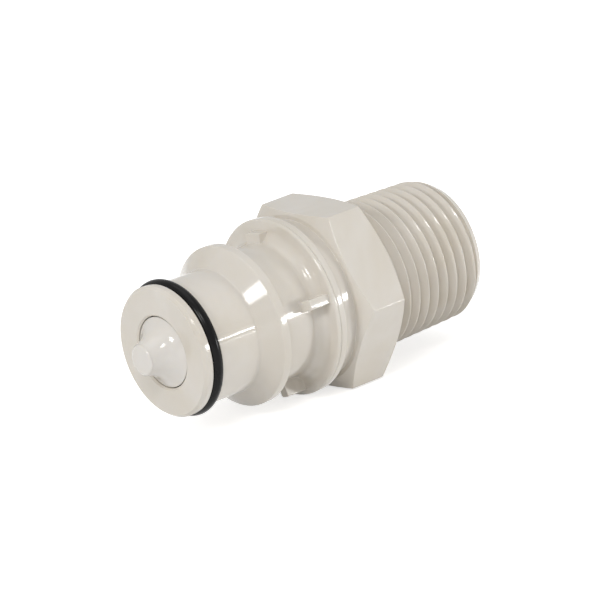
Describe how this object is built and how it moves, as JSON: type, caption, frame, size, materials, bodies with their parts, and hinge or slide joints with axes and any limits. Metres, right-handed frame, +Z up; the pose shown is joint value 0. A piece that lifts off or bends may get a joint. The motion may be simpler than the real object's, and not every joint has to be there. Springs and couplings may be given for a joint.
{
  "type": "plastic quick disconnect coupling insert",
  "caption": "Valved plastic quick disconnect insert: sealing nose with push valve, latch collar and groove, hexagon and tapered male pipe thread.",
  "frame": {"origin": "on the flow axis, in the plane of the threaded end", "axes": "+X along the flow axis from the nose to the threaded end, +Z up with one flat of the hexagon facing down"},
  "size_m": [0.0547, 0.0292, 0.0258],
  "materials": {
    "body_plastic": "gloss",
    "valve_plastic": "gloss",
    "guide_plastic": "satin",
    "seal_rubber": "satin",
    "spring_steel": "satin"
  },
  "bodies": {
    "coupling": {"insert_body": "body_plastic", "threaded_adapter": "body_plastic", "nose_seal_ring": "seal_rubber", "valve_spring": "spring_steel", "spring_guide": "guide_plastic", "joint_seal_ring": "seal_rubber"},
    "valve": {"valve_poppet": "valve_plastic", "valve_seal_ring": "seal_rubber"}
  },
  "joints": [
    {"name": "valve_push", "type": "slide", "parent": "coupling", "child": "valve", "axis": [1, 0, 0], "range_m": [0, 0.004], "stiffness_N_per_m": 1200, "springref_m": -0.0035, "deforming": ["valve_spring"]}
  ]
}
